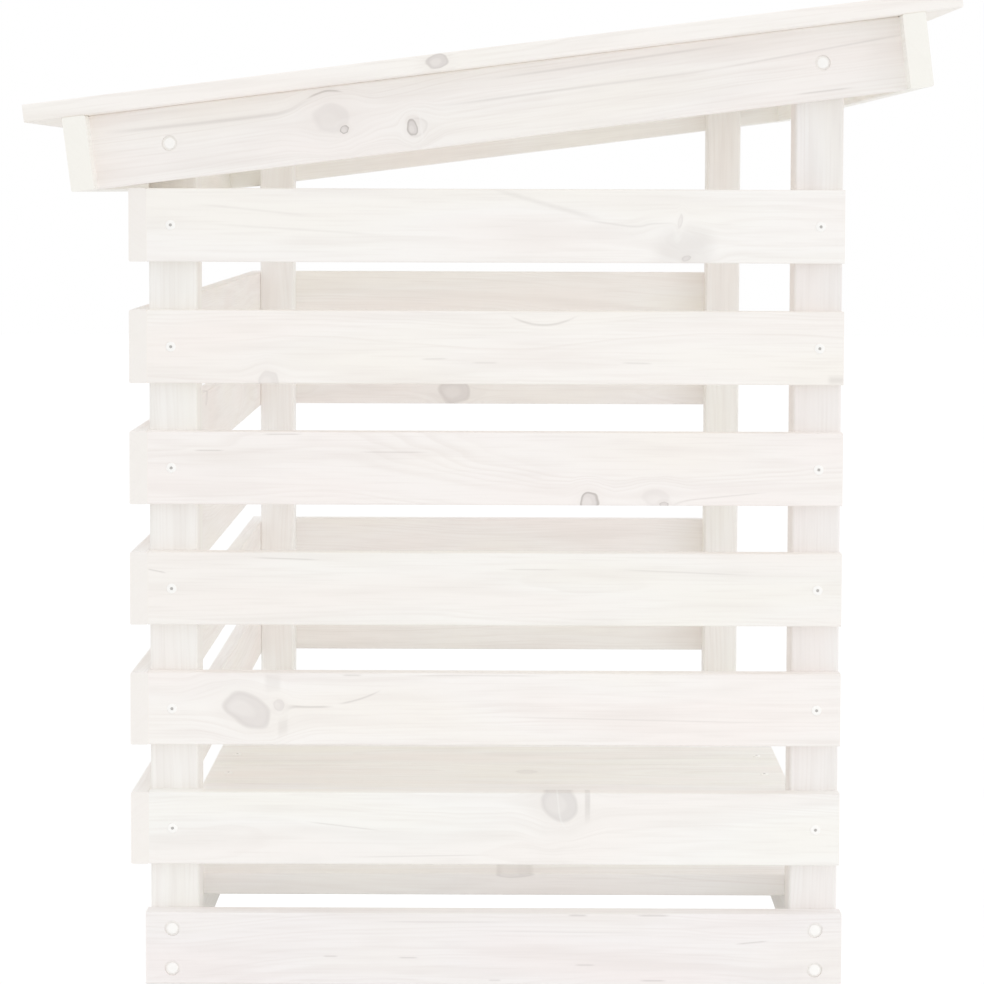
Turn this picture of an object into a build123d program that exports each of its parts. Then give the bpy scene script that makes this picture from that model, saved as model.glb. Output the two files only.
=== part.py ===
from build123d import *
import math
import os

# Log store: an open-fronted frame of planed boards with slatted sides and back,
# a boarded floor and a boarded roof that slopes down to the back.
# The origin is on the ground under the middle of the roof.
# X runs along the store, the open front faces -Y, and Z is up. Millimetres.

# Roof
roof_board_thickness = 14
roof_board_count = 12
roof_board_joint = 0.6
roof_pitch = 7.17
roof_front_height = 776
roof_front_overhang = 87
roof_back_overhang = 91.25
roof_side_overhang = 25
fascia_inset = 29.5

# Frame of four posts
frame_length = 1002
frame_depth = 550
post_size = 38

# Rails and fascias, all from one stock
rail_height = 58
rail_thickness = 18
base_rail_end = 2

# Slats
slat_height = 58
slat_thickness = 14
slat_count = 6
top_slat_clearance = 1.65

# Floor
floor_board_count = 11
floor_board_thickness = 18

# Eased edges and the pockets that the bolt heads sit in
board_edge_radius = 1.5
post_edge_radius = 2
bolt_pocket_diameter = 12
bolt_pocket_depth = 6
bolt_edge_distance = 13

# Worked out from the sizes above
slope = math.tan(math.radians(roof_pitch))
slope_cos = math.cos(math.radians(roof_pitch))
slope_sin = math.sin(math.radians(roof_pitch))
roof_board_run = (frame_depth + roof_front_overhang + roof_back_overhang) / slope_cos
roof_length = frame_length + 2 * (slat_thickness + roof_side_overhang)
roof_depth = roof_board_run * slope_cos + roof_board_thickness * slope_sin
roof_front = -roof_depth / 2
frame_front = roof_front + roof_front_overhang
frame_back = frame_front + frame_depth
frame_middle = (frame_front + frame_back) / 2
frame_side = frame_length / 2
bay_side = frame_side - post_size
back_slat_face = frame_back + slat_thickness
post_centres_y = {"front": frame_front + post_size / 2, "back": frame_back - post_size / 2}
sides = {"left": -1, "right": 1}

# The roof plane lies under the roof boards. Its own x runs along the store and
# its own y runs down the slope from the front edge.
roof_plane = Plane(
    origin=(0, roof_front, roof_front_height),
    x_dir=(1, 0, 0),
    z_dir=(0, slope_sin, slope_cos),
)


def underside_height(y):
    """Height of the roof boards' underside above the ground at depth y."""
    return roof_front_height - slope * (y - roof_front)


def save(part, name):
    """Label a finished piece and write it to its own file."""
    part.label = name
    export_step(part, f"parts/{name}.step")


os.makedirs("parts", exist_ok=True)

# The slats and the gaps below them share the height between the base rails and
# the roof rails' lowest ends
slat_zone_top = underside_height(back_slat_face) - rail_height / slope_cos - top_slat_clearance
slat_pitch = (slat_zone_top - rail_height) / slat_count
slat_middles = [rail_height + (level + 1) * slat_pitch - slat_height / 2 for level in range(slat_count)]

# Corner posts, cut to the slope under the roof boards
for end, post_y in post_centres_y.items():
    for side, sign in sides.items():
        with BuildPart() as post:
            with BuildSketch(Plane.YZ.offset(sign * frame_side)):
                with BuildLine():
                    Polyline(
                        (post_y - post_size / 2, 0),
                        (post_y + post_size / 2, 0),
                        (post_y + post_size / 2, underside_height(post_y + post_size / 2)),
                        (post_y - post_size / 2, underside_height(post_y - post_size / 2)),
                        close=True,
                    )
                make_face()
            extrude(amount=-sign * post_size)
            fillet(post.edges().filter_by(Axis.Z), post_edge_radius)
        save(post.part, f"post_{end}_{side}")

# Side slats, from the posts' front faces to their back faces
for number, slat_middle in enumerate(slat_middles, start=1):
    for side, sign in sides.items():
        with BuildPart() as slat:
            with BuildSketch(Plane.YZ.offset(sign * frame_side)):
                with Locations((frame_middle, slat_middle)):
                    Rectangle(frame_depth, slat_height)
            extrude(amount=sign * slat_thickness)
            fillet(slat.edges().filter_by(Axis.Y), board_edge_radius)
        save(slat.part, f"side_slat_{side}_{number}")

# Back slats, on the back posts and over the ends of the side slats
back_slat_length = frame_length + 2 * slat_thickness
for number, slat_middle in enumerate(slat_middles, start=1):
    with BuildPart() as slat:
        with BuildSketch(Plane.XZ.offset(-frame_back)):
            with Locations((0, slat_middle)):
                Rectangle(back_slat_length, slat_height)
        extrude(amount=-slat_thickness)
        fillet(slat.edges().filter_by(Axis.X), board_edge_radius)
    save(slat.part, f"back_slat_{number}")

# Base rails at the sides, with two bolt pockets over each post
base_rail_length = frame_depth + 2 * base_rail_end
bolt_heights = (bolt_edge_distance, rail_height - bolt_edge_distance)
for side, sign in sides.items():
    outer_face = Plane.YZ.offset(sign * (frame_side + rail_thickness))
    with BuildPart() as rail:
        with BuildSketch(Plane.YZ.offset(sign * frame_side)):
            with Locations((frame_middle, rail_height / 2)):
                Rectangle(base_rail_length, rail_height)
        extrude(amount=sign * rail_thickness)
        fillet(rail.edges().filter_by(Axis.Y), board_edge_radius)
        with BuildSketch(outer_face):
            with Locations([(y, z) for y in post_centres_y.values() for z in bolt_heights]):
                Circle(bolt_pocket_diameter / 2)
        extrude(amount=-sign * bolt_pocket_depth, mode=Mode.SUBTRACT)
    save(rail.part, f"base_rail_{side}")

# Base rails between the posts at the front and back, which carry the floor
for end, post_y in post_centres_y.items():
    with BuildPart() as rail:
        with BuildSketch(Plane.YZ.offset(-bay_side)):
            with Locations((post_y, rail_height / 2)):
                Rectangle(rail_thickness, rail_height)
        extrude(amount=2 * bay_side)
        fillet(rail.edges().filter_by(Axis.X), board_edge_radius)
    save(rail.part, f"base_rail_{end}")

# Floor boards, side by side from front to back between the posts
floor_board_width = 2 * bay_side / floor_board_count
for number in range(floor_board_count):
    board_x = -bay_side + (number + 0.5) * floor_board_width
    with BuildPart() as board:
        with BuildSketch(Plane.XZ.offset(-frame_front)):
            with Locations((board_x, rail_height + floor_board_thickness / 2)):
                Rectangle(floor_board_width, floor_board_thickness)
        extrude(amount=-frame_depth)
        fillet(board.edges().filter_by(Axis.Y), board_edge_radius)
    save(board.part, f"floor_board_{number + 1:02d}")

# Roof boards, side by side down the slope
roof_board_width = (roof_length + roof_board_joint) / roof_board_count - roof_board_joint
roof_board_pitch = roof_board_width + roof_board_joint
with BuildPart() as roof_boards:
    with BuildSketch(roof_plane):
        with Locations((0, roof_board_run / 2)):
            with GridLocations(roof_board_pitch, 0, roof_board_count, 1):
                Rectangle(roof_board_width, roof_board_run)
    extrude(amount=roof_board_thickness)
    board_edges = roof_boards.edges().filter_by(Axis(origin=(0, 0, 0), direction=roof_plane.y_dir))
    fillet(board_edges, board_edge_radius)
save(roof_boards.part, "roof_boards")

# Fascias under the roof boards, set in from their front and back ends
fascia_starts = {
    "front": fascia_inset,
    "back": roof_board_run - fascia_inset - rail_thickness,
}
for end, start in fascia_starts.items():
    with BuildPart() as fascia:
        with BuildSketch(roof_plane):
            with Locations((0, start + rail_thickness / 2)):
                Rectangle(roof_length, rail_thickness)
        extrude(amount=-rail_height)
        fillet(fascia.edges().filter_by(Axis.X), board_edge_radius)
    save(fascia.part, f"fascia_{end}")

# Roof rails on the posts, between the fascias and under the roof boards
roof_rail_start = fascia_inset + rail_thickness
roof_rail_run = roof_board_run - 2 * roof_rail_start
for side, sign in sides.items():
    rail_side = sign * (frame_side + rail_thickness / 2)
    outer_face = Plane.YZ.offset(sign * (frame_side + rail_thickness))
    with BuildPart() as rail:
        with BuildSketch(roof_plane):
            with Locations((rail_side, roof_board_run / 2)):
                Rectangle(rail_thickness, roof_rail_run)
        extrude(amount=-rail_height)
        rail_edges = rail.edges().filter_by(Axis(origin=(0, 0, 0), direction=roof_plane.y_dir))
        fillet(rail_edges, board_edge_radius)
        with BuildSketch(outer_face):
            for post_y in post_centres_y.values():
                with Locations((post_y, underside_height(post_y) - rail_height / 2 / slope_cos)):
                    Circle(bolt_pocket_diameter / 2)
        extrude(amount=-sign * bolt_pocket_depth, mode=Mode.SUBTRACT)
    save(rail.part, f"roof_rail_{side}")
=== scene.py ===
# %% [markdown]
# # A slatted log store in white-stained pine
#
# The log store is a small open frame of planed softwood boards, painted over with a thin
# white stain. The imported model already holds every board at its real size, so this lesson
# adds what that model leaves plain: the grain, knots and stain of each board, the screws
# and bolts that hold the boards, and a white studio to show it in.

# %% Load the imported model
import math
import random

import bmesh
import bpy
from mathutils import Matrix, Quaternion, Vector


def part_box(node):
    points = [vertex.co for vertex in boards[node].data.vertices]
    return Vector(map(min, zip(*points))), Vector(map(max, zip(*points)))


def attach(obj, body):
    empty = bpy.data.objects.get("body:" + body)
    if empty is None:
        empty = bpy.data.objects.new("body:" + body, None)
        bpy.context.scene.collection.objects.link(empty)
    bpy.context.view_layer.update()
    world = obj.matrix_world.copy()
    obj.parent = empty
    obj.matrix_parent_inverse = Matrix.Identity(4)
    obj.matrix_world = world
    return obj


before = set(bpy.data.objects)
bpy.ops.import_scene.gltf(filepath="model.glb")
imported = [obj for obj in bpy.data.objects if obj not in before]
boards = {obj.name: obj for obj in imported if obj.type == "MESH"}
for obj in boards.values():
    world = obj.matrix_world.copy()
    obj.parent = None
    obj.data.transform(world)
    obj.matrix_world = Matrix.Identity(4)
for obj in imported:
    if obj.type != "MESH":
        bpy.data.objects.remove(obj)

scene = bpy.context.scene
scene.view_settings.view_transform = "Standard"
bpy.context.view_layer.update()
print("boards in the model:", len(boards))

# %% [markdown]
# ## Two small helpers
#
# Colours are easiest to pick as hex values off a screen, but shaders work in linear light,
# so one function converts them. Every node tree below is built with the second function,
# which adds one node, gives it its settings, and links or fills its inputs.

# %% Helpers
MM = 0.001


def linear(hex_colour):
    """An sRGB hex colour as the linear red, green, blue and alpha that shaders use."""
    shares = [int(hex_colour[i:i + 2], 16) / 255 for i in (1, 3, 5)]
    return tuple(s / 12.92 if s <= 0.04045 else ((s + 0.055) / 1.055) ** 2.4
                 for s in shares) + (1,)


def add(tree, kind, inputs=None, **settings):
    """Add one node, apply its settings, and link or fill each named input."""
    node = tree.nodes.new(kind)
    for name, value in settings.items():
        setattr(node, name, value)
    for name, value in (inputs or {}).items():
        if isinstance(value, bpy.types.NodeSocket):
            tree.links.new(value, node.inputs[name])
        else:
            node.inputs[name].default_value = value
    return node


def new_group(name, kind, inputs, outputs):
    """Start a node group with named inputs and outputs, and return it with both ends."""
    group = bpy.data.node_groups.new(name, kind)
    for label, socket_kind in inputs.items():
        group.interface.new_socket(label, in_out="INPUT", socket_type="NodeSocket" + socket_kind)
    for label, socket_kind in outputs.items():
        group.interface.new_socket(label, in_out="OUTPUT", socket_type="NodeSocket" + socket_kind)
    return group, add(group, "NodeGroupInput").outputs, add(group, "NodeGroupOutput").inputs


def new_material(name):
    """Start an empty material, and return it with its node tree."""
    material = bpy.data.materials.new(name)
    material.use_nodes = True
    material.node_tree.nodes.clear()
    return material, material.node_tree


print("mid grey on a screen is", round(linear("#808080")[0], 3), "in linear light")

# %% [markdown]
# ## Camera
#
# The store is seen square on to its left side, from just under roof height and well back, so
# the slats stay level and only the far side shrinks. A real photographer would shift the
# lens down to keep the posts upright. A large shift pushes the store out of frame in other
# views, so the camera here takes part of it as shift and part as a small tilt.

# %% Camera
camera_data = bpy.data.cameras.new("camera")
camera_data.lens = 99.41
camera_data.sensor_width = 36
camera_data.shift_x = -0.0183
camera_data.shift_y = -0.16
camera = bpy.data.objects.new("camera", camera_data)
scene.collection.objects.link(camera)
scene.camera = camera

camera_tilt = math.radians(3.071)
camera_turn = math.radians(-0.01)
camera_roll = math.radians(0.1825)
aim = Vector((
    math.cos(camera_tilt) * math.cos(camera_turn),
    math.cos(camera_tilt) * math.sin(camera_turn),
    -math.sin(camera_tilt),
))
camera.rotation_mode = "QUATERNION"
camera.rotation_quaternion = aim.to_track_quat("-Z", "Y") @ Quaternion((0, 0, 1), camera_roll)
camera.location = (-2.6549, -0.0142, 0.6342)

# %% [markdown]
# ## White floor and background
#
# The store stands in a white studio. The floor bounces soft light up as a matt white sheet
# does, and to the camera it is mostly plain white with a little of its real shading mixed
# in, so that a pale shadow stays where the store stands. A lit sheet alone would need far
# more lamp to reach plain white, and would then wash the pale boards out. Under the floor
# boards the sheet is plain white all over, as the narrow gap beside the base rail shows
# white.

# %% Floor
SHEET_HALF = 9.0
SHADING_LEFT = 0.24
# A little over 1, so that the mixture with the sheet's own shading still ends at white
GLOW_STRENGTH = 1.11
# Half the size of the patch under the floor boards that is plain white
PATCH_HALF_X = 0.49
PATCH_HALF_Y = 0.255


def seen_directly(tree):
    """A socket that is 1 for rays from the camera and for what gloss and glass show."""
    path = add(tree, "ShaderNodeLightPath").outputs
    mirrored = add(tree, "ShaderNodeMath",
                   {0: path["Is Glossy Ray"], 1: path["Is Transmission Ray"]},
                   operation="MAXIMUM").outputs[0]
    return add(tree, "ShaderNodeMath", {0: path["Is Camera Ray"], 1: mirrored},
               operation="MAXIMUM").outputs[0]


def paper_white():
    """Matt white sheet: rough, no gloss, and dull enough that more light comes from above."""
    material, tree = new_material("matt white studio floor")
    sheet = add(tree, "ShaderNodeBsdfDiffuse", {"Color": linear("#E5E5E5"), "Roughness": 0.0})
    glow = add(tree, "ShaderNodeEmission", {"Color": (1, 1, 1, 1), "Strength": GLOW_STRENGTH})
    place = add(tree, "ShaderNodeTexCoord").outputs["Object"]
    spread = add(tree, "ShaderNodeVectorMath", {0: place}, operation="ABSOLUTE").outputs[0]
    across = add(tree, "ShaderNodeSeparateXYZ", {0: spread}).outputs
    inside_x = add(tree, "ShaderNodeMath", {0: across["X"], 1: PATCH_HALF_X},
                   operation="LESS_THAN").outputs[0]
    inside_y = add(tree, "ShaderNodeMath", {0: across["Y"], 1: PATCH_HALF_Y},
                   operation="LESS_THAN").outputs[0]
    below = add(tree, "ShaderNodeMath", {0: inside_x, 1: inside_y},
                operation="MULTIPLY").outputs[0]
    share = add(tree, "ShaderNodeMapRange",
                {"Value": below, "To Min": 1 - SHADING_LEFT, "To Max": 1.0}).outputs[0]
    share = add(tree, "ShaderNodeMath", {0: share, 1: seen_directly(tree)},
                operation="MULTIPLY").outputs[0]
    mixed = add(tree, "ShaderNodeMixShader", {0: share, 1: sheet.outputs[0], 2: glow.outputs[0]})
    add(tree, "ShaderNodeOutputMaterial", {"Surface": mixed.outputs[0]})
    return material


corners = [(x * SHEET_HALF, y * SHEET_HALF, 0) for x, y in ((-1, -1), (1, -1), (1, 1), (-1, 1))]
floor_mesh = bpy.data.meshes.new("studio_floor")
floor_mesh.from_pydata(corners, [], [(0, 1, 2, 3)])
floor = bpy.data.objects.new("studio_floor", floor_mesh)
scene.collection.objects.link(floor)
floor_mesh.materials.append(paper_white())
print("the studio floor is", 2 * SHEET_HALF, "m square")

# %% [markdown]
# ## Light
#
# Packshot light comes from all round, so that hardly anything casts a shadow: the near slats
# are the brightest and the inside of the store is only one step darker. An even white world
# gives nearly all of it. The floor returns a little less than it gets, which leaves a soft
# shade under the eaves. A large soft lamp shines in through the open front, and the lit
# table that such a store is photographed on lifts the undersides. At strength 1 the world is
# also exactly white to the camera, so it is the background as well.

# %% World and lamps
world = bpy.data.worlds.new("white studio")
scene.world = world
world.use_nodes = True
tree = world.node_tree
tree.nodes.clear()
white = add(tree, "ShaderNodeBackground", {"Color": (1, 1, 1, 1), "Strength": 1.0})
add(tree, "ShaderNodeOutputWorld", {"Surface": white.outputs[0]})

# Between boards as white as these, light goes on bouncing for long
scene.cycles.diffuse_bounces = 12


def studio_light(name, place, aim_at, size, watts):
    """A large round soft light that stands at one place and faces another."""
    data = bpy.data.lights.new(name, "AREA")
    data.shape = "DISK"
    data.size = size
    data.energy = watts
    light = bpy.data.objects.new(name, data)
    scene.collection.objects.link(light)
    light.location = place
    light.rotation_mode = "QUATERNION"
    light.rotation_quaternion = (Vector(aim_at) - light.location).to_track_quat("-Z", "Y")
    light.visible_camera = False
    light.visible_glossy = False
    return light


studio_light("soft lamp at the open front", place=(-2.2, -3.2, 0.5), aim_at=(0, 0, 0.3),
             size=2.0, watts=12)
studio_light("light table under the store", place=(0, 0, 0.0005), aim_at=(0, 0, 1),
             size=3.0, watts=3.6)

# %% [markdown]
# ## Growth rings
#
# Grain is the pattern that appears where a saw cuts through a tree's yearly rings. Painting
# lines on each face would never meet at the edges, so the rings are modelled as what they
# are: cones round the heart of the tree, read in the board's own millimetres. A board cut
# beside the heart then shows long lines on its faces, arches where the heart runs out of
# it, and arcs on its ends, all from the same rule.

# %% Distance from the heart of the tree
BEND_LENGTH = 230
BEND_SIZE = (0, 14, 14)
WAVE_SIZE = (60, 15, 15)
WAVE_PUSH = 3.4
ACROSS_THE_TREE = (0, 1, 1)

rings_group, given, result = new_group(
    "growth rings",
    "ShaderNodeTree",
    {"Place": "Vector", "Heart": "Vector", "Rise": "Vector", "Spacing": "Float", "Seed": "Float"},
    {"Late wood": "Float", "Fibre": "Float", "Stain": "Float", "Warmth": "Float"},
)
along = add(rings_group, "ShaderNodeSeparateXYZ", {0: given["Place"]}).outputs["X"]
climb = add(rings_group, "ShaderNodeVectorMath", {0: given["Rise"], "Scale": along},
            operation="SCALE").outputs[0]
heart = add(rings_group, "ShaderNodeVectorMath", {0: given["Heart"], 1: climb},
            operation="ADD").outputs[0]

# The stem was never quite straight, so the heart wanders a few millimetres
bend = add(rings_group, "ShaderNodeMath", {0: along, 1: 1 / BEND_LENGTH, 2: given["Seed"]},
           operation="MULTIPLY_ADD").outputs[0]
bend = add(rings_group, "ShaderNodeTexNoise", {"W": bend, "Scale": 1.0, "Detail": 0.0},
           noise_dimensions="1D").outputs["Color"]
bend = add(rings_group, "ShaderNodeVectorMath", {0: bend, 1: (0.5, 0.5, 0.5)},
           operation="SUBTRACT").outputs[0]
heart = add(rings_group, "ShaderNodeVectorMath", {0: bend, 1: BEND_SIZE, 2: heart},
            operation="MULTIPLY_ADD").outputs[0]
reach = add(rings_group, "ShaderNodeVectorMath", {0: given["Place"], 1: heart},
            operation="SUBTRACT").outputs[0]
reach = add(rings_group, "ShaderNodeVectorMath", {0: reach, 1: ACROSS_THE_TREE},
            operation="MULTIPLY").outputs[0]
radius = add(rings_group, "ShaderNodeVectorMath", {0: reach}, operation="LENGTH").outputs["Value"]

# Small waves in the rings, long down the board and short across it
wave_place = add(rings_group, "ShaderNodeVectorMath",
                 {0: given["Place"], 1: [1 / length for length in WAVE_SIZE], 2: given["Seed"]},
                 operation="MULTIPLY_ADD").outputs[0]
waves = add(rings_group, "ShaderNodeTexNoise",
            {"Vector": wave_place, "Scale": 1.0, "Detail": 1.0}).outputs[0]
radius = add(rings_group, "ShaderNodeMath", {0: waves, 1: WAVE_PUSH, 2: radius},
             operation="MULTIPLY_ADD").outputs[0]

# %% [markdown]
# The distance from the heart becomes a count of years. Good and poor years change the
# ring widths, each ring darkens slowly to late wood and stops at the next spring, and each
# year draws how dark it gets.

# %% Years and late wood
# Good years come and go every three rings or so, and shift the count by up to 2.6 rings
GOOD_YEARS_RATE = 0.31
GOOD_YEARS_SHIFT = 2.6
# Keeps the years of one board apart from those of the next
SEED_SPREAD = 13.7

years = add(rings_group, "ShaderNodeMath", {0: radius, 1: given["Spacing"]},
            operation="DIVIDE").outputs[0]
decades = add(rings_group, "ShaderNodeMath", {0: years, 1: GOOD_YEARS_RATE, 2: given["Seed"]},
              operation="MULTIPLY_ADD").outputs[0]
growth = add(rings_group, "ShaderNodeTexNoise", {"W": decades, "Scale": 1.0, "Detail": 0.0},
             noise_dimensions="1D").outputs[0]
years = add(rings_group, "ShaderNodeMath", {0: growth, 1: GOOD_YEARS_SHIFT, 2: years},
            operation="MULTIPLY_ADD").outputs[0]
season = add(rings_group, "ShaderNodeMath", {0: years}, operation="FRACT").outputs[0]
autumn = add(rings_group, "ShaderNodeMapRange",
             {"Value": season, "From Min": 0.25, "From Max": 0.8},
             interpolation_type="SMOOTHSTEP").outputs[0]
spring = add(rings_group, "ShaderNodeMapRange",
             {"Value": season, "From Min": 0.84, "From Max": 1.0, "To Min": 1.0, "To Max": 0.0},
             interpolation_type="SMOOTHSTEP").outputs[0]
year = add(rings_group, "ShaderNodeMath", {0: years}, operation="FLOOR").outputs[0]
year = add(rings_group, "ShaderNodeMath", {0: given["Seed"], 1: SEED_SPREAD, 2: year},
           operation="MULTIPLY_ADD").outputs[0]
luck = add(rings_group, "ShaderNodeTexWhiteNoise", {"W": year},
           noise_dimensions="1D").outputs["Value"]
luck = add(rings_group, "ShaderNodeMapRange",
           {"Value": luck, "To Min": 0.1, "To Max": 1.0}).outputs[0]
late = add(rings_group, "ShaderNodeMath", {0: autumn, 1: spring}, operation="MULTIPLY").outputs[0]
late = add(rings_group, "ShaderNodeMath", {0: late, 1: luck}, operation="MULTIPLY").outputs[0]
rings_group.links.new(late, result["Late wood"])

# %% [markdown]
# Three plain noises give what the rings do not: the fibres, which the stain catches on, the
# uneven soak of the stain, and slow changes between pinkish and cream wood. Each is drawn
# out along the board. The sizes are millimetres along, across and through it. Real fibres
# are much thinner than these, too fine to show, so they are drawn as coarse as shows.

# %% Fibre, soak and tint
FIBRE_SIZE = (45, 1.6, 1.6)
soft_patterns = (
    ("Fibre", FIBRE_SIZE, 0.0),
    ("Stain", (110, 13, 13), 1.0),
    ("Warmth", (170, 45, 45), 0.0),
)
for label, size, detail in soft_patterns:
    scaled = add(rings_group, "ShaderNodeVectorMath",
                 {0: given["Place"], 1: [1 / length for length in size], 2: given["Seed"]},
                 operation="MULTIPLY_ADD").outputs[0]
    pattern = add(rings_group, "ShaderNodeTexNoise",
                  {"Vector": scaled, "Scale": 1.0, "Detail": detail}).outputs[0]
    rings_group.links.new(pattern, result[label])
print("growth ring group has", len(rings_group.nodes), "nodes")

# %% [markdown]
# ## Knots
#
# A knot is a branch that the saw cut across. It goes right through a board, it has its own
# heart and a darker band round it, and the grain beside it parts and closes again like
# water round a post. So the group gives the branch's shades, and a push that moves the
# board's grain aside before the growth rings are read.

# %% Outline of a knot
UNEVENNESS = 0.24
BRANCH_HEART = (-0.2, -0.12, 0)

knot_group, given, result = new_group(
    "knot",
    "ShaderNodeTree",
    {"Place": "Vector", "Centre": "Vector", "Reach": "Vector", "Turn": "Float", "Seed": "Float"},
    {"Body": "Float", "Bark": "Float", "Halo": "Float", "Push": "Vector"},
)
offset = add(knot_group, "ShaderNodeVectorMath", {0: given["Place"], 1: given["Centre"]},
             operation="SUBTRACT").outputs[0]
offset = add(knot_group, "ShaderNodeVectorMath", {0: offset, 1: (1, 1, 0)},
             operation="MULTIPLY").outputs[0]
turned = add(knot_group, "ShaderNodeVectorRotate", {"Vector": offset, "Angle": given["Turn"]},
             rotation_type="Z_AXIS").outputs[0]
turned = add(knot_group, "ShaderNodeVectorMath", {0: turned, 1: given["Reach"]},
             operation="DIVIDE").outputs[0]
uneven = add(knot_group, "ShaderNodeVectorMath", {0: turned, 1: given["Seed"]},
             operation="ADD").outputs[0]
uneven = add(knot_group, "ShaderNodeTexNoise",
             {"Vector": uneven, "Scale": 1.0, "Detail": 0.0}).outputs[0]
uneven = add(knot_group, "ShaderNodeMapRange",
             {"Value": uneven, "To Min": -UNEVENNESS, "To Max": UNEVENNESS}).outputs[0]
size = add(knot_group, "ShaderNodeVectorMath", {0: turned}, operation="LENGTH").outputs["Value"]
size = add(knot_group, "ShaderNodeMath", {0: size, 1: uneven}, operation="ADD").outputs[0]

# The branch's heart lies off its middle and is the paler part of the knot
heart = add(knot_group, "ShaderNodeVectorMath", {0: turned, 1: BRANCH_HEART},
            operation="SUBTRACT").outputs[0]
heart = add(knot_group, "ShaderNodeVectorMath", {0: heart}, operation="LENGTH").outputs["Value"]
heart = add(knot_group, "ShaderNodeMath", {0: heart, 1: uneven}, operation="ADD").outputs[0]

# %% [markdown]
# Every shade of the knot is a soft step of one of those two distances, where 1 is the
# knot's edge: from which distance to which, and between which two shares.

# %% Shades of a knot
steps = {
    "edge": (size, 0.84, 1.12, 1.0, 0.0),
    "heart": (heart, 0.34, 0.66, 0.62, 1.0),
    "inside bark": (size, 0.72, 0.95, 0.0, 1.0),
    "outside bark": (size, 0.97, 1.14, 1.0, 0.0),
    "halo": (size, 0.9, 2.3, 1.0, 0.0),
    "push": (size, 0.4, 3.2, -0.85, 0.0),
}
for label, (distance, near, far, at_near, at_far) in steps.items():
    steps[label] = add(
        knot_group, "ShaderNodeMapRange",
        {"Value": distance, "From Min": near, "From Max": far,
         "To Min": at_near, "To Max": at_far},
        interpolation_type="SMOOTHSTEP").outputs[0]
body = add(knot_group, "ShaderNodeMath", {0: steps["edge"], 1: steps["heart"]},
           operation="MULTIPLY").outputs[0]
bark = add(knot_group, "ShaderNodeMath", {0: steps["inside bark"], 1: steps["outside bark"]},
           operation="MULTIPLY").outputs[0]
push = add(knot_group, "ShaderNodeVectorMath", {0: offset, "Scale": steps["push"]},
           operation="SCALE").outputs[0]
push = add(knot_group, "ShaderNodeVectorMath", {0: push, 1: (0, 1, 0)},
           operation="MULTIPLY").outputs[0]
knot_group.links.new(body, result["Body"])
knot_group.links.new(bark, result["Bark"])
knot_group.links.new(steps["halo"], result["Halo"])
knot_group.links.new(push, result["Push"])
print("knot group has", len(knot_group.nodes), "nodes")

# %% [markdown]
# ## Single streaks
#
# Here and there one streak of pitch or of pale wood stands out from the grain. It is a thin
# stroke that slopes a little, bows a little, and fades at its sides and both ends. It could
# be a stretched noise, but a stroke made from a few lengths goes exactly where it is wanted.

# %% Streaks
streak_group, given, result = new_group(
    "streak",
    "ShaderNodeTree",
    {"Place": "Vector", "Middle": "Vector", "Half length": "Float", "Half width": "Float",
     "Slope": "Float", "Bow": "Float"},
    {"Streak": "Float"},
)
offset = add(streak_group, "ShaderNodeVectorMath", {0: given["Place"], 1: given["Middle"]},
             operation="SUBTRACT").outputs[0]
offset = add(streak_group, "ShaderNodeSeparateXYZ", {0: offset}).outputs
run = add(streak_group, "ShaderNodeMath", {0: offset["X"], 1: given["Half length"]},
          operation="DIVIDE").outputs[0]
bow = add(streak_group, "ShaderNodeMath", {0: run, 1: run}, operation="MULTIPLY").outputs[0]
bow = add(streak_group, "ShaderNodeMath", {0: bow, 1: given["Bow"]},
          operation="MULTIPLY").outputs[0]
lift = add(streak_group, "ShaderNodeMath", {0: offset["X"], 1: given["Slope"], 2: bow},
           operation="MULTIPLY_ADD").outputs[0]
gap = add(streak_group, "ShaderNodeMath", {0: offset["Y"], 1: lift},
          operation="SUBTRACT").outputs[0]
gap = add(streak_group, "ShaderNodeMath", {0: gap, 1: given["Half width"]},
          operation="DIVIDE").outputs[0]
fades = []
for distance, full_until in ((gap, 0.0), (run, 0.45)):
    distance = add(streak_group, "ShaderNodeMath", {0: distance}, operation="ABSOLUTE").outputs[0]
    fades.append(add(streak_group, "ShaderNodeMapRange",
                     {"Value": distance, "From Min": full_until, "To Min": 1.0, "To Max": 0.0},
                     interpolation_type="SMOOTHSTEP").outputs[0])
streak = add(streak_group, "ShaderNodeMath", {0: fades[0], 1: fades[1]}, operation="MULTIPLY")
streak_group.links.new(streak.outputs[0], result["Streak"])
print("streak group has", len(streak_group.nodes), "nodes")

# %% [markdown]
# ## White stain
#
# Planed pine under one coat of thin white stain is almost white. The late wood, the fibres
# and the patches that drank less stain show through it as soft greys, and the wood itself
# leans to pink in one place and to cream in the next. One flat off-white would look like
# plastic, so each of those is a thin layer of colour over the one before.

# %% White stain
EARLY_WOOD = "#FCFCFB"
LATE_WOOD = "#EAE6E3"
PINK_STAIN = "#FBF7F5"
CREAM_STAIN = "#FBFAF6"
END_GRAIN = "#FAF8F4"
KNOT_WOOD = "#E1DEDD"
KNOT_BARK = "#C2BEBB"
PITCH = "#CFCBC8"

stain_group, given, result = new_group(
    "white stain",
    "ShaderNodeTree",
    {"Late wood": "Float", "Fibre": "Float", "Stain": "Float", "Warmth": "Float"},
    {"Colour": "Color"},
)
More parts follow.
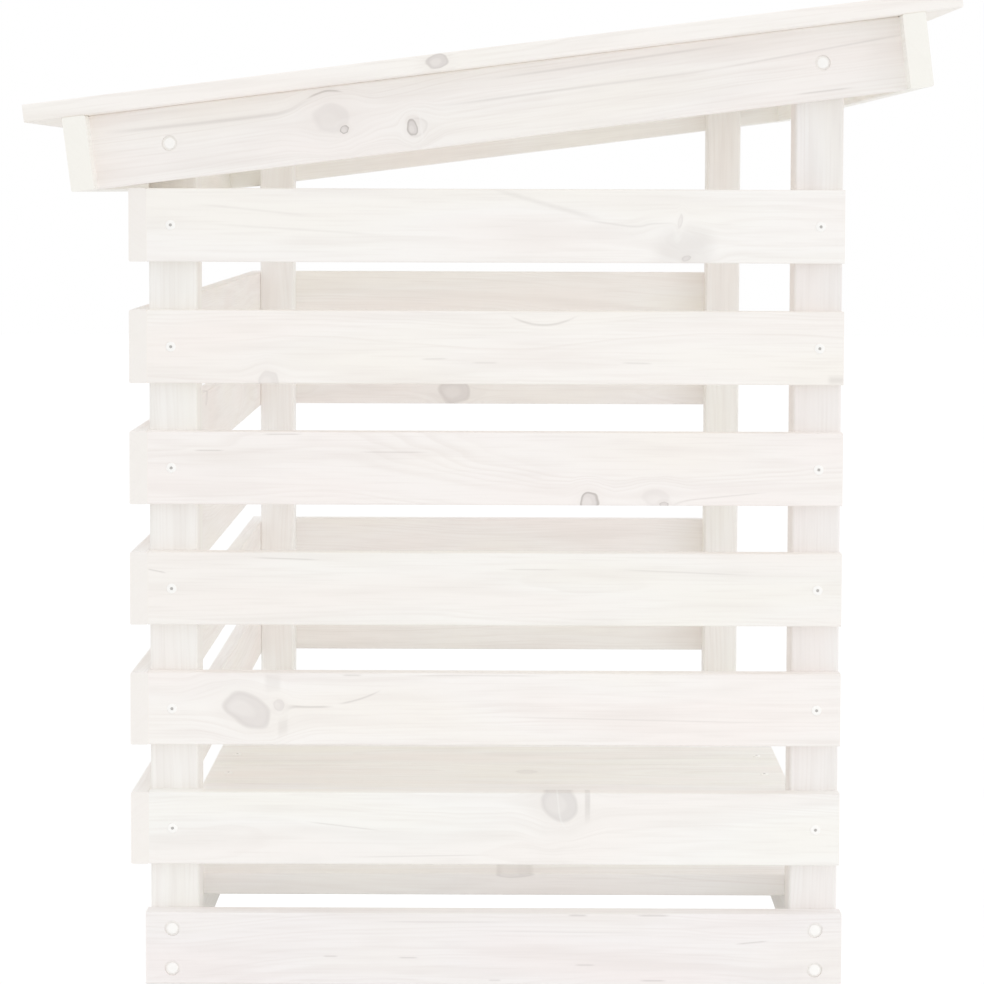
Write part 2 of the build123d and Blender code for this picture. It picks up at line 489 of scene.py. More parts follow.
# What a layer follows, where in that pattern it starts and is full, its most share, its colour
stain_layers = (
    ("Late wood", 0.0, 1.0, 0.33, LATE_WOOD),
    ("Warmth", 0.45, 0.75, 0.7, PINK_STAIN),
    ("Warmth", 0.5, 0.25, 0.8, CREAM_STAIN),
    ("Stain", 0.48, 0.85, 0.4, LATE_WOOD),
    ("Fibre", 0.5, 0.8, 0.2, LATE_WOOD),
)
colour = linear(EARLY_WOOD)
for pattern, start, full, most, shade in stain_layers:
    share = add(stain_group, "ShaderNodeMapRange",
                {"Value": given[pattern], "From Min": start, "From Max": full,
                 "To Max": most}).outputs[0]
    colour = add(stain_group, "ShaderNodeMix", {0: share, 6: colour, 7: linear(shade)},
                 data_type="RGBA").outputs[2]
stain_group.links.new(colour, result["Colour"])
print("white stain group has", len(stain_layers), "layers")

# %% [markdown]
# ## The stained pine of one board
#
# Each board gets a material of its own, because no two boards come from the same spot of a
# tree, and all of them share the groups above. The board's own place is worked out first,
# in millimetres from its middle: along, across and through it. The knots push the grain
# aside, then the rings are read, then stain, knots and streaks are laid over each other.

# %% Place in a board
def board_place(tree, centre, along, across):
    """A board's own place in millimetres, from its middle and its two named directions."""
    through = along.cross(across)
    turn = Matrix((along, across, through)).transposed().to_euler()
    coordinates = add(tree, "ShaderNodeTexCoord").outputs["Object"]
    return add(tree, "ShaderNodeMapping",
               {"Vector": coordinates, "Location": centre, "Rotation": turn,
                "Scale": (MM, MM, MM)},
               vector_type="TEXTURE").outputs[0]


def edge_place(tree, place):
    """The same place read on a board's edge: along, through and across it."""
    parts = add(tree, "ShaderNodeSeparateXYZ", {0: place}).outputs
    return add(tree, "ShaderNodeCombineXYZ",
               {"X": parts["X"], "Y": parts["Z"], "Z": parts["Y"]}).outputs[0]


# %% Knots and streaks in a board
HALO_SHARE = 0.22
# Keeps the outlines of two knots in one board apart
KNOT_SEED_STEP = 3.1


def lay_knots(tree, place, knots_by_place):
    """The board's place with its grain pushed aside by the knots, and the knots' shades."""
    shades = []
    for knot_place, knots in knots_by_place:
        for number, (right, up, half_long, half_wide, turn, body, bark) in enumerate(knots):
            knot = add(tree, "ShaderNodeGroup",
                       {"Place": knot_place, "Centre": (right, up, 0),
                        "Reach": (half_long, half_wide, 1), "Turn": math.radians(turn),
                        "Seed": right + number * KNOT_SEED_STEP},
                       node_tree=knot_group).outputs
            place = add(tree, "ShaderNodeVectorMath", {0: place, 1: knot["Push"]},
                        operation="ADD").outputs[0]
            shades += [(knot["Halo"], HALO_SHARE * body, LATE_WOOD),
                       (knot["Body"], body, KNOT_WOOD), (knot["Bark"], bark, KNOT_BARK)]
    return place, shades


def lay_streaks(tree, grain_place, streaks):
    """The shades of a board's streaks, which bend as its grain does."""
    shades = []
    for right, up, half_long, half_wide, slope, bow, shade, strength in streaks:
        streak = add(tree, "ShaderNodeGroup",
                     {"Place": grain_place, "Middle": (right, up, 0), "Half length": half_long,
                      "Half width": half_wide, "Slope": slope, "Bow": bow},
                     node_tree=streak_group).outputs[0]
        shades.append((streak, strength, shade))
    return shades


# %% [markdown]
# A thin stain soaks in and leaves no film, so the finish is quite rough, with the index of
# dry wood, and a faint relief of standing fibres that only shows in slanting light.

# %% Stained pine
PINE_IOR = 1.5
PINE_ROUGHNESS = 0.6
ROUGHNESS_SPREAD = 0.06
FIBRE_HEIGHT = 0.1 * MM
FIBRE_STRENGTH = 0.15
# How deep a sawn end shows, from where to where, and how much of it
SAWN_DEPTH = 0.8
SAWN_EDGE = 0.1
SAWN_SHARE = 0.8


def stained_pine(name, read_board, half_length, tint, streaks=()):
    """White-stained planed pine: the grain of one board, with its knots and streaks.

    read_board(tree) gives the board's place, the cut of its tree as inputs for the growth
    rings, and its knots in groups that each have a place of their own.
    """
    material, tree = new_material("white-stained pine " + name)
    place, cut, knots_by_place = read_board(tree)
    grain_place, shades = lay_knots(tree, place, knots_by_place)
    shades += lay_streaks(tree, grain_place, streaks)
    grain = add(tree, "ShaderNodeGroup", {"Place": grain_place, **cut},
                node_tree=rings_group).outputs
    colour = add(tree, "ShaderNodeGroup",
                 {label: grain[label] for label in ("Late wood", "Fibre", "Stain", "Warmth")},
                 node_tree=stain_group).outputs[0]

    # Sawn ends drink more stain and stay a little darker than the planed faces
    run = add(tree, "ShaderNodeSeparateXYZ", {0: place}).outputs["X"]
    run = add(tree, "ShaderNodeMath", {0: run}, operation="ABSOLUTE").outputs[0]
    sawn = add(tree, "ShaderNodeMapRange",
               {"Value": run, "From Min": half_length - SAWN_DEPTH,
                "From Max": half_length - SAWN_EDGE}).outputs[0]
    shades.append((sawn, SAWN_SHARE, END_GRAIN))
    for share, strength, shade in shades:
        share = add(tree, "ShaderNodeMath", {0: share, 1: strength}, operation="MULTIPLY",
                    use_clamp=True).outputs[0]
        colour = add(tree, "ShaderNodeMix", {0: share, 6: colour, 7: linear(shade)},
                     data_type="RGBA").outputs[2]
    colour = add(tree, "ShaderNodeMix", {0: 1.0, 6: colour, 7: linear(tint)}, data_type="RGBA",
                 blend_type="MULTIPLY").outputs[2]

    # Planing leaves the fibres standing a little proud, which knots hardly change
    fibres = add(tree, "ShaderNodeMapping",
                 {"Vector": place, "Scale": [1 / length for length in FIBRE_SIZE]}).outputs[0]
    fibres = add(tree, "ShaderNodeTexNoise",
                 {"Vector": fibres, "Scale": 1.0, "Detail": 0.0}).outputs[0]
    relief = add(tree, "ShaderNodeBump",
                 {"Strength": FIBRE_STRENGTH, "Distance": FIBRE_HEIGHT,
                  "Height": fibres}).outputs[0]
    rough = add(tree, "ShaderNodeMapRange",
                {"Value": grain["Fibre"], "To Min": PINE_ROUGHNESS - ROUGHNESS_SPREAD,
                 "To Max": PINE_ROUGHNESS + ROUGHNESS_SPREAD}).outputs[0]
    pine = add(tree, "ShaderNodeBsdfPrincipled",
               {"Base Color": colour, "Roughness": rough, "IOR": PINE_IOR, "Normal": relief})
    add(tree, "ShaderNodeOutputMaterial", {"Surface": pine.outputs[0]})
    return material


# %% [markdown]
# Where a board was cut from its tree is drawn at random: where the heart lies beside it,
# how the heart runs out, and how wide the rings are. Boards whose knots are not listed
# draw those as well.

# %% Draws for a board
pine_draw = random.Random(7)


def draw_cut(width):
    """Where a board was cut from its tree, as inputs for the growth rings."""
    across = pine_draw.uniform(-0.9, 0.9) * width
    through = pine_draw.choice((-1, 1)) * pine_draw.uniform(18, 60)
    return {
        "Heart": (0, across, through),
        "Rise": (0, pine_draw.uniform(-0.035, 0.035), pine_draw.uniform(-0.03, 0.03)),
        "Spacing": pine_draw.uniform(2.6, 4.6),
        "Seed": pine_draw.uniform(0, 400),
    }


def draw_knots(half_length, width):
    """None, one or two knots somewhere along a board."""
    return [
        (pine_draw.uniform(-0.9, 0.9) * half_length, pine_draw.uniform(-0.45, 0.45) * width,
         pine_draw.uniform(5, 14), pine_draw.uniform(4, 11), pine_draw.uniform(-40, 40),
         pine_draw.uniform(0.4, 0.9), pine_draw.choice((0, 0.1, 0.5)))
        for _ in range(pine_draw.choice((0, 0, 1, 1, 2)))
    ]


def draw_tint():
    """A tint between plain white and one up to four steps darker, and warmer."""
    lower = pine_draw.uniform(0, 4)
    parts = (255 - lower, 255 - 1.5 * lower, 254 - 1.4 * lower)
    return "#%02X%02X%02X" % tuple(round(part) for part in parts)


# %% [markdown]
# A board is told by its name and two directions: along its grain, and across its face. Its
# box in the model gives its middle and its size. A board on the slope of the roof has the
# slope's length, not its box's.

# %% Finish of a board
def finish_board(name, along, across, knots=None, streaks=(), edge_knots=(), tint=None):
    """Give a board of the model a stained pine of its own."""
    low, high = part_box(name)
    extent = high - low
    half_length = abs(extent.dot(Vector(abs(v) for v in along))) / 2 / MM
    if along.y and along.z:
        half_length = math.hypot(extent.y, extent.z) / 2 / MM
    width = abs(extent.dot(Vector(abs(v) for v in across))) / MM
    # Every board draws all three, so that placing one board's knots changes no other board
    cut = draw_cut(width)
    drawn_knots = draw_knots(half_length, width)
    drawn_tint = draw_tint()

    def read_board(tree):
        place = board_place(tree, (low + high) / 2, along, across)
        knots_by_place = [(place, drawn_knots if knots is None else knots)]
        if edge_knots:
            knots_by_place.append((edge_place(tree, place), edge_knots))
        return place, cut, knots_by_place

    mesh = boards[name].data
    mesh.materials.clear()
    mesh.materials.append(stained_pine(name, read_board, half_length, tint or drawn_tint, streaks))


# %% [markdown]
# ## Side slats
#
# The six near slats are what anyone sees first, so their knots and strongest streaks are
# placed one by one, in millimetres from each slat's middle: to the right as the left side
# is seen, and up. Of the far side's slats, one has a large knot that shows between two
# near slats, three are clear, and two draw theirs at random.

# %% Side slats
TOWARDS_FRONT = Vector((0, -1, 0))
UP = Vector((0, 0, 1))
LENGTHWAYS = Vector((1, 0, 0))
SLAT_NUMBERS = range(1, 7)

# Each knot: place right, place up, half length, half width, turn in degrees, and how
# strongly its body and its bark show
near_slat_knots = {
    6: [(149, -13, 15, 8, 20, 0.1, 0.0), (145.5, 4, 1.8, 6, 10, 0.45, 0.0),
        (150.5, -25, 3.6, 2.2, -20, 0.7, 0.2)],
    5: [(-179, -27, 8, 8, 0, 0.5, 0.06)],
    4: [(75, -26, 7, 7.5, 0, 0.75, 0.85), (127, -23, 11, 7, 0, 0.3, 0.0),
        (134, -28, 3.4, 2, 0, 0.9, 0.5)],
    3: [],
    2: [(-196, -1, 18.8, 12.2, 26, 0.62, 0.17), (-171, 3, 4.4, 4.8, 0, 0.5, 0.05)],
    1: [(52.5, 20, 14, 14, 20, 0.72, 0.1)],
}
# Each streak: place right, place up, half length, half width, slope, bow, colour, strength
near_slat_streaks = {
    6: [(40, 17, 50, 3.2, -0.28, 0, PITCH, 0.22), (-190, 12, 50, 1.6, -0.1, 0, PITCH, 0.16),
        (-160, -3, 80, 1.6, -0.06, 0, PITCH, 0.15), (105, 0, 44, 1.4, -0.14, 0, PITCH, 0.28),
        (149, -16, 30, 15, 0.1, 0, PITCH, 0.24)],
    5: [(38, 18, 30, 1.5, 0.0, 9, PITCH, 0.5), (-48, -9, 12, 1.2, 0.02, 0, PITCH, 0.33),
        (-8, -12, 12, 1.2, 0.0, 0, PITCH, 0.3), (112, -12, 14, 1.2, -0.02, 0, PITCH, 0.33),
        (270, -25, 9, 5, 0.0, 0, PITCH, 0.4)],
    4: [(-226, 14, 14, 0.9, 0.0, 0, PITCH, 0.55), (-80, 13, 30, 0.9, 0.0, 0, PITCH, 0.45),
        (176, -22, 44, 0.9, 0.1, 0, PITCH, 0.35), (-168, 27, 18, 0.9, 0.0, 0, PITCH, 0.5)],
    3: [(-165, 24, 30, 0.9, -0.03, 0, PITCH, 0.5), (30, 16, 24, 0.9, 0.0, 0, PITCH, 0.3),
        (150, 14, 60, 1.0, -0.04, 0, PITCH, 0.3), (-268, 14, 9, 1.0, -0.2, 0, PITCH, 0.5)],
    2: [(-176, 18, 8, 17, 0.0, 0, PITCH, 0.22), (-168, -8, 5, 10, 0.0, 0, PITCH, 0.25),
        (-147, 1.5, 21, 1.5, 0.02, 0, PITCH, 0.6), (-107, 8, 19, 1.3, 0.32, 2, PITCH, 0.5),
        (-113, 27, 9, 1.2, 0.0, 0, PITCH, 0.4), (110, -8, 130, 1.0, -0.02, 0, PITCH, 0.25),
        (-10, 27, 60, 0.9, 0.0, 0, PITCH, 0.35)],
    1: [(52, 19, 7, 1.8, -1.4, 0, EARLY_WOOD, 0.35), (74.5, 21, 2.8, 13, 0.0, 0, PITCH, 0.42),
        (70.5, 29, 9, 1.3, 0.0, 0, PITCH, 0.8), (-120, 2, 34, 0.9, -0.12, 0, PITCH, 0.35),
        (-60, -22, 60, 0.9, 0.02, 0, PITCH, 0.3)],
}
# Each slat took the stain a little differently
near_slat_tints = {
    6: "#FFFDFB", 5: "#FFFCF9", 4: "#FEFAF8", 3: "#FDFBF8", 2: "#FEFBF9", 1: "#FDFCFA",
}
far_slat_knots = {5: [], 4: [(-53, -14, 18, 15, 0, 0.7, 0.15)], 2: [], 1: []}
for number in SLAT_NUMBERS:
    finish_board(f"side_slat_left_{number}", TOWARDS_FRONT, UP, near_slat_knots[number],
                 near_slat_streaks[number], tint=near_slat_tints[number])
    finish_board(f"side_slat_right_{number}", TOWARDS_FRONT, UP, far_slat_knots.get(number))
print("near slats carry", sum(len(k) for k in near_slat_knots.values()), "placed knots")

# %% [markdown]
# ## The other boards
#
# Back slats and fascias run lengthways, posts stand, floor boards run from front to back,
# base rails run both ways and roof rails down the slope. Only the directions differ. The
# two rails that face the camera have placed streaks, the upper one has placed knots too,
# and so has the outer edge of the first floor board. An empty list leaves a board clear.

# %% Back slats, posts, rails, floor boards and fascias
FLOOR_BOARD_NUMBERS = range(1, 12)
roof_pitch = math.radians(7.17)
DOWN_SLOPE = Vector((0, math.cos(roof_pitch), -math.sin(roof_pitch)))
OFF_ROOF = Vector((0, math.sin(roof_pitch), math.cos(roof_pitch)))
near_roof_rail_knots = [
    (-131, 4, 14, 12, 0, 0.35, 0.0), (-122, -6, 3.4, 3.0, -30, 1.0, 0.9),
    (-69, -11, 4.4, 6.0, 0, 1.0, 0.9), (-65, -11, 8, 8, 0, 0.15, 0.15),
]
near_roof_rail_streaks = [
    (-134, 17, 16, 1.6, 0.0, -3, PITCH, 0.8), (-225, 12.5, 95, 2.4, -0.01, 1, PITCH, 0.4),
    (90, 21, 110, 1.6, 0.02, 0, PITCH, 0.4), (60, 4, 130, 1.6, 0.01, 0, PITCH, 0.35),
    (250, 10, 90, 1.4, 0.06, 0, PITCH, 0.35), (255, -22, 26, 1.2, 0.0, 0, PITCH, 0.5),
    (-62, -10, 1.2, 8, 0.0, 0, EARLY_WOOD, 0.4),
]
near_base_rail_streaks = [
    (-130, -6, 7, 1.0, 0.0, 0, PITCH, 0.5), (-68, -7, 9, 1.0, 0.0, 0, PITCH, 0.5),
    (206, 6, 15, 1.0, 0.1, 0, PITCH, 0.5), (-40, 22, 60, 1.0, 0.0, 0, PITCH, 0.25),
    (60, 14, 80, 1.0, -0.01, 0, PITCH, 0.2), (127, -25, 12, 1.2, 0.0, 0, PITCH, 0.5),
    (127, 27.5, 15, 1.3, 0.0, 0, PITCH, 0.5), (67, 27.5, 9, 1.3, 0.0, 0, PITCH, 0.5),
    (73, -12.5, 9, 1.0, 0.0, 0, PITCH, 0.5), (1, -25, 6, 1.0, 0.0, 0, PITCH, 0.4),
]
# The posts have a tint each by side and end, and the floor boards take three in turn
near_post_tints = {"front": "#F9F7F6", "back": "#FCFBF9"}
far_post_tints = {"front": "#F9F8F6", "back": "#FEFEFE"}
floor_knots = {1: [], 6: []}
floor_edge_knots = {1: [(17, 8.5, 15, 3, 0, 0.5, 0.1)]}
floor_tints = ("#FEFEFC", "#FFFFFF", "#FFFFFD")
for number in SLAT_NUMBERS:
    finish_board(f"back_slat_{number}", LENGTHWAYS, UP, tint="#FCFAF9")
for end in ("front", "back"):
    finish_board(f"post_{end}_left", UP, LENGTHWAYS, tint=near_post_tints[end])
    finish_board(f"post_{end}_right", UP, LENGTHWAYS, [], tint=far_post_tints[end])
    finish_board(f"base_rail_{end}", LENGTHWAYS, UP)
    finish_board(f"fascia_{end}", LENGTHWAYS, OFF_ROOF, tint="#FFFFFC")
finish_board("base_rail_left", TOWARDS_FRONT, UP, [], near_base_rail_streaks, tint="#FAF7F7")
finish_board("base_rail_right", TOWARDS_FRONT, UP)
finish_board("roof_rail_left", -DOWN_SLOPE, OFF_ROOF, near_roof_rail_knots, near_roof_rail_streaks,
             tint="#FDFAF8")
finish_board("roof_rail_right", -DOWN_SLOPE, OFF_ROOF, [])
for number in FLOOR_BOARD_NUMBERS:
    finish_board(f"floor_board_{number:02d}", TOWARDS_FRONT, LENGTHWAYS, floor_knots.get(number),
                 edge_knots=floor_edge_knots.get(number, ()),
                 tint=floor_tints[number % len(floor_tints)])
print("boards with a pine of their own:", len([m for m in bpy.data.materials if "pine" in m.name]))

# %% [markdown]
# ## Roof boards
#
# The twelve roof boards are one node of the model, so one material has to give each of
# them a tree of its own. The board's number comes from its place along the store, and
# random values drawn from that number place the heart, pick the seed of the grain and
# slide the knots along, so that no two boards look alike.

# %% Roof boards
ROOF_BOARD_COUNT = 12
ROOF_JOINT = 0.6 * MM
# Random values from 0 to 1 are stretched over these lengths, in millimetres
HEART_SPREAD = (0, 120, 36)
HEART_START = (0, -60, -58)
KNOT_SLIDE = (900, 0, 0)
FAR_AWAY = 5000.0
SEED_RANGE = 300.0
roof_low, roof_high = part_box("roof_boards")
roof_board_pitch = (roof_high.x - roof_low.x + ROOF_JOINT) / ROOF_BOARD_COUNT / MM
roof_half_run = math.hypot(roof_high.y - roof_low.y, roof_high.z - roof_low.z) / 2 / MM
roof_knots = [(180, 20, 9, 7, 20, 0.8, 0.2), (-420, -18, 12, 9, -10, 0.7, 0.4)]
roof_edge_knots = [(-43, 1, 8.5, 5.5, 0, 0.95, 0.3)]


def read_roof(tree):
    """Place, tree cut and knots of whichever roof board a place is on."""
    place = board_place(tree, (roof_low + roof_high) / 2, -DOWN_SLOPE, LENGTHWAYS)
    across = add(tree, "ShaderNodeSeparateXYZ", {0: place}).outputs["Y"]
    number = add(tree, "ShaderNodeMath", {0: across, 1: roof_board_pitch},
                 operation="DIVIDE").outputs[0]
    number = add(tree, "ShaderNodeMath", {0: number}, operation="FLOOR").outputs[0]
    middle = add(tree, "ShaderNodeMath", {0: number, 1: 0.5}, operation="ADD").outputs[0]
    middle = add(tree, "ShaderNodeMath", {0: middle, 1: roof_board_pitch},
                 operation="MULTIPLY").outputs[0]
    middle = add(tree, "ShaderNodeCombineXYZ", {"Y": middle}).outputs[0]
    place = add(tree, "ShaderNodeVectorMath", {0: place, 1: middle},
                operation="SUBTRACT").outputs[0]

    luck = add(tree, "ShaderNodeTexWhiteNoise", {"W": number}, noise_dimensions="1D").outputs
    heart = add(tree, "ShaderNodeVectorMath",
                {0: luck["Color"], 1: HEART_SPREAD, 2: HEART_START},
                operation="MULTIPLY_ADD").outputs[0]
    seed = add(tree, "ShaderNodeMath", {0: luck["Value"], 1: SEED_RANGE},
               operation="MULTIPLY").outputs[0]
    slide = add(tree, "ShaderNodeVectorMath", {0: luck["Color"], 1: KNOT_SLIDE, 2: place},
                operation="MULTIPLY_ADD").outputs[0]

    # Only the first board has the knot on its edge, so the others read it metres away
    away = add(tree, "ShaderNodeMath", {0: number, 1: ROOF_BOARD_COUNT / 2},
               operation="ADD").outputs[0]
    away = add(tree, "ShaderNodeMath", {0: away, 1: FAR_AWAY}, operation="MULTIPLY").outputs[0]
    away = add(tree, "ShaderNodeCombineXYZ", {"X": away}).outputs[0]
    away = add(tree, "ShaderNodeVectorMath", {0: place, 1: away}, operation="ADD").outputs[0]
    cut = {"Heart": heart, "Rise": (0, 0.02, 0.02), "Spacing": 3.6, "Seed": seed}
    return place, cut, [(slide, roof_knots), (edge_place(tree, away), roof_edge_knots)]


roof_pine = stained_pine("roof", read_roof, roof_half_run, "#FFFCF9")
boards["roof_boards"].data.materials.clear()
boards["roof_boards"].data.materials.append(roof_pine)
print("each roof board takes", round(roof_board_pitch, 1), "mm of the store's length")

# %% [markdown]
# ## Screws and bolts
#
# White-coated wood screws hold the slats and boards, and larger bolts sit in round pockets
# in the rails. A head is a turned shape, and it repeats about a hundred times, so it is
# made once at unit size and a Geometry Nodes tree sets a copy on each place, facing out of
# the board. The tree takes the head's real sizes as named inputs and turns every star
# recess by a random angle, as a driver leaves them.

# %% Heads at unit size
SIDES_ROUND = 24
LOBES = 6
LOBE_DEPTH = 0.13


def turned_head(name, rings, recess_from=None):
    """A closed turned shape from rings of radius and height, starred from one ring on."""
    mesh = bpy.data.meshes.new(name)
    shape = bmesh.new()
    recess = shape.faces.layers.bool.new("recess")
    loops = []
    for number, (ring_radius, height) in enumerate(rings):
        star = recess_from is not None and number >= recess_from
        loops.append([])
        for step in range(SIDES_ROUND):
            angle = step * math.tau / SIDES_ROUND
            reach = ring_radius * (1 + (LOBE_DEPTH * math.cos(LOBES * angle) if star else 0))
            point = (reach * math.cos(angle), reach * math.sin(angle), height)
            loops[-1].append(shape.verts.new(point))
    for number, (lower, upper) in enumerate(zip(loops, loops[1:])):
        for step in range(SIDES_ROUND):
            after = (step + 1) % SIDES_ROUND
            face = shape.faces.new((lower[step], lower[after], upper[after], upper[step]))
            face.smooth = True
            face[recess] = recess_from is not None and number >= recess_from
    shape.faces.new(list(reversed(loops[0])))
    cap = shape.faces.new(loops[-1])
    cap[recess] = recess_from is not None
    cap.smooth = recess_from is None
    bmesh.ops.recalc_face_normals(shape, faces=shape.faces)
    shape.to_mesh(mesh)
    shape.free()
    head = bpy.data.objects.new(name, mesh)
    scene.collection.objects.link(head)
    return head


screw_head = turned_head(
    "screw_head",
    [(0.40, -0.6), (0.5, 0.0), (0.5, 0.3), (0.475, 0.6), (0.40, 0.86), (0.26, 1.0), (0.15, 1.0),
     (0.14, 0.9), (0.125, 0.3)],
    recess_from=6,
)
# The bolt's flange almost fills its pocket, and its low dome stands inside the flange
bolt_head = turned_head(
    "bolt_head",
    [(0.5, 0.0), (0.5, 0.76), (0.485, 0.78), (0.40, 0.79), (0.39, 0.81), (0.385, 0.90),
     (0.365, 0.95), (0.31, 0.98), (0.20, 0.995), (0.10, 1.0)],
)
print("points in a screw head:", len(screw_head.data.vertices))
print("points in a bolt head:", len(bolt_head.data.vertices))

# %% [markdown]
# ## Finish of the heads
#
# The heads are steel with a baked white coat, smoother and glossier than the stained wood.
# The driver wears the coat off inside the star recess, where dull grey zinc shows. The grey
# is also painted shade, because the modelled recess is shallower than a real one.

# %% Finishes of the heads
def fine_grained(name, size, light, dark, roughness, ior, relief_depth):
    """A plain hard finish in one colour, mottled and dimpled at one real size."""
    material, tree = new_material(name)
    place = add(tree, "ShaderNodeTexCoord").outputs["Object"]
    mottle = add(tree, "ShaderNodeTexNoise",
                 {"Vector": place, "Scale": 1 / size, "Detail": 2.0}).outputs[0]
    colour = add(tree, "ShaderNodeMix", {0: mottle, 6: linear(light), 7: linear(dark)},
                 data_type="RGBA").outputs[2]
    relief = add(tree, "ShaderNodeBump",
                 {"Strength": 0.15, "Distance": relief_depth, "Height": mottle}).outputs[0]
    finish = add(tree, "ShaderNodeBsdfPrincipled",
                 {"Base Color": colour, "Roughness": roughness, "IOR": ior, "Normal": relief})
    add(tree, "ShaderNodeOutputMaterial", {"Surface": finish.outputs[0]})
    return material


# Baked white enamel on steel: clean white, with the faint orange peel of a thick coat
enamel = fine_grained("baked white enamel", 0.8 * MM, "#FFFEFC", "#FBFAF7", 0.38, 1.5, 0.05 * MM)
# Zinc plate under dirt in a driven recess: dull grey, so it is not given a metal's mirror.
# The grey is partly painted shade, standing for the dark of a recess deeper than this one.
zinc_and_painted_shade = fine_grained("worn_zinc_plate_and_painted_recess_shade", 0.5 * MM, "#CFCDCA", "#BDBAB7", 0.6, 1.5, 0.02 * MM)
print("finishes of the heads:", enamel.name, "and", zinc_and_painted_shade.name)

# %% [markdown]
# ## Heads on places
#
# The tree takes points that each carry the way a head faces, turns the head's own upright
# to that way, spins it by its random angle, and stretches the unit shape to its real
# diameter and height. Then the copies become one real mesh, with the coat on all of it and
# the grey zinc, which is partly painted shade, on the faces that were marked as recess.

# %% Turn and size of each head
heads_tree, given, result = new_group(
    "heads on places",
    "GeometryNodeTree",
    {"Geometry": "Geometry", "Head": "Object", "Head diameter": "Float", "Standing proud": "Float",
     "Seed": "Int", "Coat": "Material", "Recess": "Material"},
    {"Geometry": "Geometry"},
)
head = add(heads_tree, "GeometryNodeObjectInfo", {"Object": given["Head"]}).outputs["Geometry"]
facing = add(heads_tree, "GeometryNodeInputNamedAttribute", {"Name": "facing"},
             data_type="FLOAT_VECTOR").outputs[0]
turn = add(heads_tree, "FunctionNodeAlignRotationToVector", {"Vector": facing},
           axis="Z").outputs[0]
spin = add(heads_tree, "FunctionNodeRandomValue", {3: math.tau, "Seed": given["Seed"]},
           data_type="FLOAT").outputs[1]
spin = add(heads_tree, "ShaderNodeCombineXYZ", {"Z": spin}).outputs[0]
spin = add(heads_tree, "FunctionNodeEulerToRotation", {0: spin}).outputs[0]
turn = add(heads_tree, "FunctionNodeRotateRotation", {0: turn, 1: spin},
           rotation_space="LOCAL").outputs[0]
size = add(heads_tree, "ShaderNodeCombineXYZ",
           {"X": given["Head diameter"], "Y": given["Head diameter"],
            "Z": given["Standing proud"]}).outputs[0]

# %% Copies of the head and their finish
heads = add(heads_tree, "GeometryNodeInstanceOnPoints",
            {"Points": given["Geometry"], "Instance": head, "Rotation": turn,
             "Scale": size}).outputs[0]
heads = add(heads_tree, "GeometryNodeRealizeInstances", {"Geometry": heads}).outputs[0]
heads = add(heads_tree, "GeometryNodeSetMaterial",
            {"Geometry": heads, "Material": given["Coat"]}).outputs[0]
# The recess faces take the grey zinc finish, which is partly painted shade in the recess
in_recess = add(heads_tree, "GeometryNodeInputNamedAttribute", {"Name": "recess"},
                data_type="BOOLEAN").outputs[0]
heads = add(heads_tree, "GeometryNodeSetMaterial",
            {"Geometry": heads, "Selection": in_recess, "Material": given["Recess"]}).outputs[0]
heads_tree.links.new(heads, result["Geometry"])
print("heads tree has", len(heads_tree.nodes), "nodes")

# %% [markdown]
# One function uses the tree for every kind of head. It sets the tree's inputs by their
# identifiers before the points are first evaluated, takes the result as a plain mesh, and
# throws the points away with their modifier.

# %% Set heads on places
def set_heads(name, places, head, diameter, proud, seed):
    """Set a head on each place, which is a point and the way it faces, as one plain mesh."""
    points = bpy.data.meshes.new(name + "_places")
    points.from_pydata([point for point, _ in places], [], [])
    facing = points.attributes.new("facing", "FLOAT_VECTOR", "POINT")
    for value, (_, direction) in zip(facing.data, places):
        value.vector = direction
    holder = bpy.data.objects.new(name + "_places", points)
    scene.collection.objects.link(holder)
    modifier = holder.modifiers.new("heads", "NODES")
    modifier.node_group = heads_tree
    chosen = {"Head": head, "Head diameter": diameter, "Standing proud": proud, "Seed": seed,
              "Coat": enamel, "Recess": zinc_and_painted_shade}
    for socket in heads_tree.interface.items_tree:
        if socket.in_out == "INPUT" and socket.name in chosen:
            modifier[socket.identifier] = chosen[socket.name]
    evaluated = holder.evaluated_get(bpy.context.evaluated_depsgraph_get())
    mesh = bpy.data.meshes.new_from_object(evaluated)
    bpy.data.objects.remove(holder)
    piece = bpy.data.objects.new(name, mesh)
    scene.collection.objects.link(piece)
    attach(piece, "root")
    print(name, "has", len(places), "heads and", len(mesh.polygons), "faces")
    return piece


# %% [markdown]
# ## Where the heads go
#
# Every place comes from the boards that the head joins: a slat's screws sit over the middle
# of each post, a floor board's over the rails under it, a roof board's over the fascias.

# %% Places of the screws
SCREW_DIAMETER = 8 * MM
SCREW_PROUD = 0.8 * MM


def middle(node):
    """The middle of a board's box."""
    low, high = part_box(node)
    return (low + high) / 2


slat_places = []
for side, sign in (("left", -1), ("right", 1)):
    for number in SLAT_NUMBERS:
        slat = f"side_slat_{side}_{number}"
        low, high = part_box(slat)
        outer_face = low.x if sign < 0 else high.x
        for end in ("front", "back"):
            point = Vector((outer_face, middle(f"post_{end}_{side}").y, middle(slat).z))
            slat_places.append((point, (sign, 0, 0)))
for number in SLAT_NUMBERS:
    low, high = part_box(f"back_slat_{number}")
    for side in ("left", "right"):
        point = Vector((middle(f"post_back_{side}").x, high.y, (low.z + high.z) / 2))
        slat_places.append((point, (0, 1, 0)))

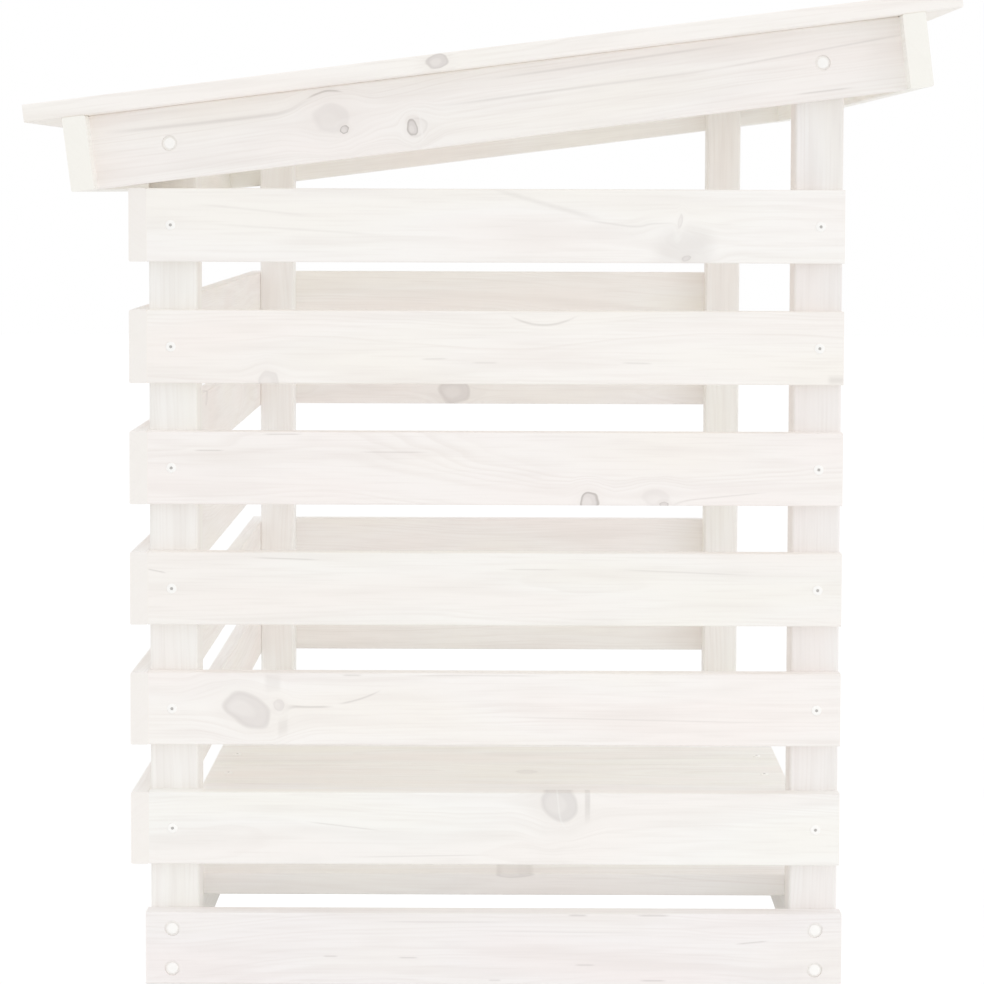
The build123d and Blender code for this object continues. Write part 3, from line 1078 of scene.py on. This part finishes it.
floor_places = []
for number in FLOOR_BOARD_NUMBERS:
    board = f"floor_board_{number:02d}"
    for end in ("front", "back"):
        point = Vector((middle(board).x, middle(f"base_rail_{end}").y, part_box(board)[1].z))
        floor_places.append((point, (0, 0, 1)))

roof_places = []
rail_height = 58 * MM
roof_board_thickness = 14 * MM
fascia_to_roof_face = OFF_ROOF * (rail_height / 2 + roof_board_thickness)
for number in range(ROOF_BOARD_COUNT):
    board_x = roof_low.x + (number + 0.5) * roof_board_pitch * MM
    for end in ("front", "back"):
        fascia = middle(f"fascia_{end}")
        point = Vector((board_x, fascia.y, fascia.z)) + fascia_to_roof_face
        roof_places.append((point, OFF_ROOF))

set_heads("slat_screws", slat_places, screw_head, SCREW_DIAMETER, SCREW_PROUD, seed=3)
set_heads("floor_screws", floor_places, screw_head, SCREW_DIAMETER, SCREW_PROUD, seed=4)
set_heads("roof_screws", roof_places, screw_head, SCREW_DIAMETER, SCREW_PROUD, seed=5)

# %% [markdown]
# The bolts go through the rails into the posts, two at each end of a base rail and one at
# each end of a roof rail. Their pockets are already cut in the model, so a bolt starts from
# its pocket's floor and its dome ends just below the face of the rail.

# %% Places of the bolts
BOLT_DIAMETER = 11.9 * MM
BOLT_POCKET_DEPTH = 6 * MM
BOLT_BELOW_FACE = 0.2 * MM
bolt_edge_distance = 13 * MM

bolt_places = []
for side, sign in (("left", -1), ("right", 1)):
    low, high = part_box(f"base_rail_{side}")
    pocket_floor = (low.x if sign < 0 else high.x) - sign * BOLT_POCKET_DEPTH
    roof_rail = middle(f"roof_rail_{side}")
    for end in ("front", "back"):
        post_y = middle(f"post_{end}_{side}").y
        rail_z = roof_rail.z - math.tan(roof_pitch) * (post_y - roof_rail.y)
        for height in (bolt_edge_distance, high.z - bolt_edge_distance, rail_z):
            bolt_places.append((Vector((pocket_floor, post_y, height)), (sign, 0, 0)))
set_heads("rail_bolts", bolt_places, bolt_head, BOLT_DIAMETER,
          BOLT_POCKET_DEPTH - BOLT_BELOW_FACE, seed=6)

# The heads at unit size are copied wherever they go, so the two originals can leave
for head in (screw_head, bolt_head):
    bpy.data.objects.remove(head)
